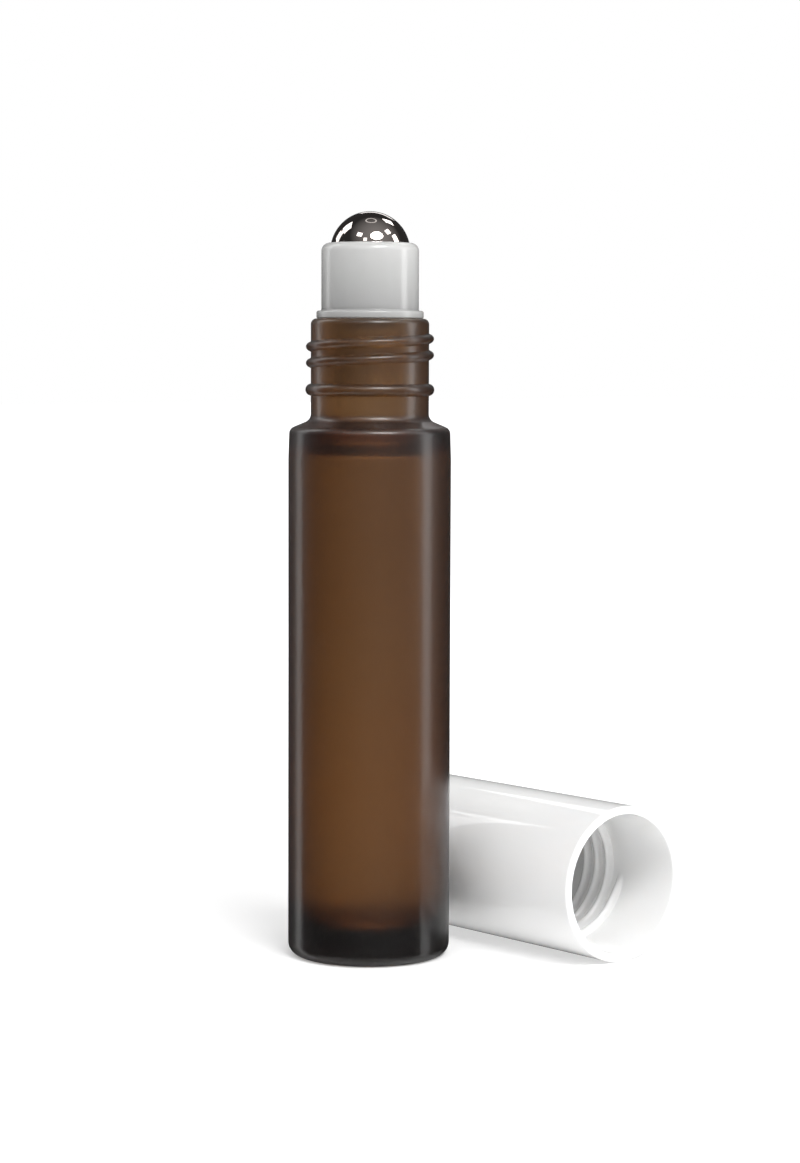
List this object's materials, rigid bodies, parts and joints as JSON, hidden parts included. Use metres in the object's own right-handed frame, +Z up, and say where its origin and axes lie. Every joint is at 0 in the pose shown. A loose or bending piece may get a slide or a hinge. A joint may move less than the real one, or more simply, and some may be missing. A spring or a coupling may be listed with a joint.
{
  "type": "roll-on bottle",
  "caption": "Cylindrical frosted amber glass roll-on bottle with a steel roller ball in a press-in plastic housing, and its smooth white screw cap lying beside it.",
  "frame": {"origin": "centre of the circle on which the bottle stands, at table height", "axes": "+Z up along the bottle's axis; +X along the lying cap's axis, out of its mouth; the cap lies on the +Y side of the bottle"},
  "size_m": [0.0359, 0.0404, 0.0917],
  "materials": {
    "amber_glass": "frosted amber glass, satin outside and smooth inside",
    "oil": "clear amber liquid",
    "natural_plastic": "satin natural polyethylene, slightly translucent",
    "steel": "mirror-polished stainless steel",
    "white_plastic": "glossy white polypropylene"
  },
  "bodies": {
    "bottle": {"glass_bottle": "amber_glass", "liquid_fill": "oil"},
    "housing": {"ball_housing": "natural_plastic"},
    "ball": {"roller_ball": "steel"},
    "cap": {"cap": "white_plastic"}
  },
  "joints": [
    {"name": "housing_pull", "type": "slide", "parent": "bottle", "child": "housing", "axis": [0, 0, 1], "range_m": [0, 0.03]},
    {"name": "ball_roll", "type": "hinge", "parent": "housing", "child": "ball", "pos_m": [0, 0, 0.08681], "axis": [1, 0, 0], "continuous": true},
    {"name": "cap_lift", "type": "slide", "parent": "bottle", "child": "cap", "axis": [0, 0, 1], "range_m": [0, 0.1]}
  ]
}
